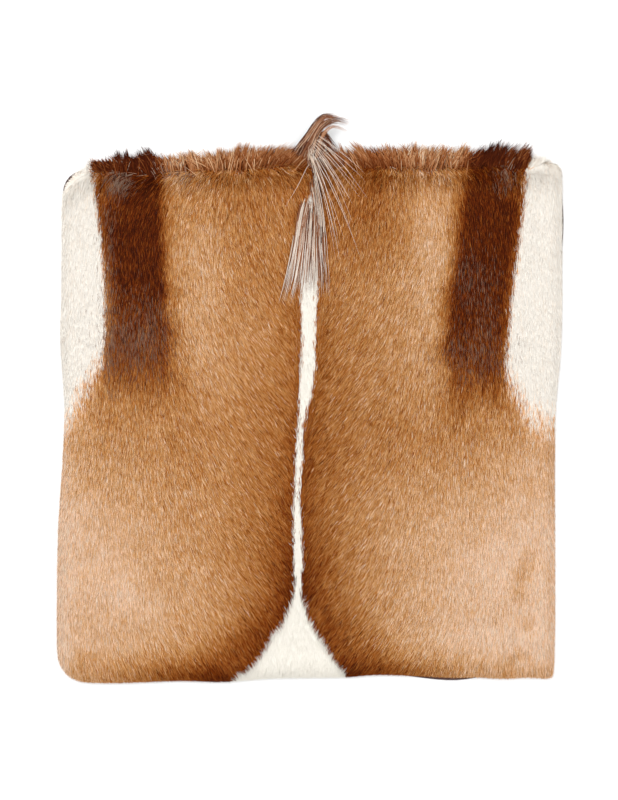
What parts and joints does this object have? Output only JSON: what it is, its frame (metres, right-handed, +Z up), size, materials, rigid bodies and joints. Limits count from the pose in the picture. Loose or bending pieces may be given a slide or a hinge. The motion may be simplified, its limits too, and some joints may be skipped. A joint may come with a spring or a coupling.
{
  "type": "antelope hide cushion cover",
  "caption": "Square, empty cushion cover lying flat: a front of antelope hide with its short coat, a plain suede back, a fringe of hair at the top edge and a long-haired crest on the middle line.",
  "frame": {"origin": "on the flat underside of the back panel, at the middle of the cover, on the surface that it rests on", "axes": "+Z up out of the haired face, +Y towards the folded top edge with the crest, +X to the right as seen from above"},
  "size_m": [0.4559, 0.509, 0.0176],
  "materials": {
    "suede_back": "matte suede",
    "haired_hide": "short glossy hair, white stripe and edges, dark brown bands, tan and chestnut between",
    "edge_hair": "short hair, chestnut and dark brown",
    "crest_hair": "long coarse hair, off-white with a brown plume"
  },
  "bodies": {
    "root": {"back_panel": "suede_back", "hide_front": "haired_hide", "top_fringe": "edge_hair", "crest": "crest_hair"}
  },
  "joints": []
}
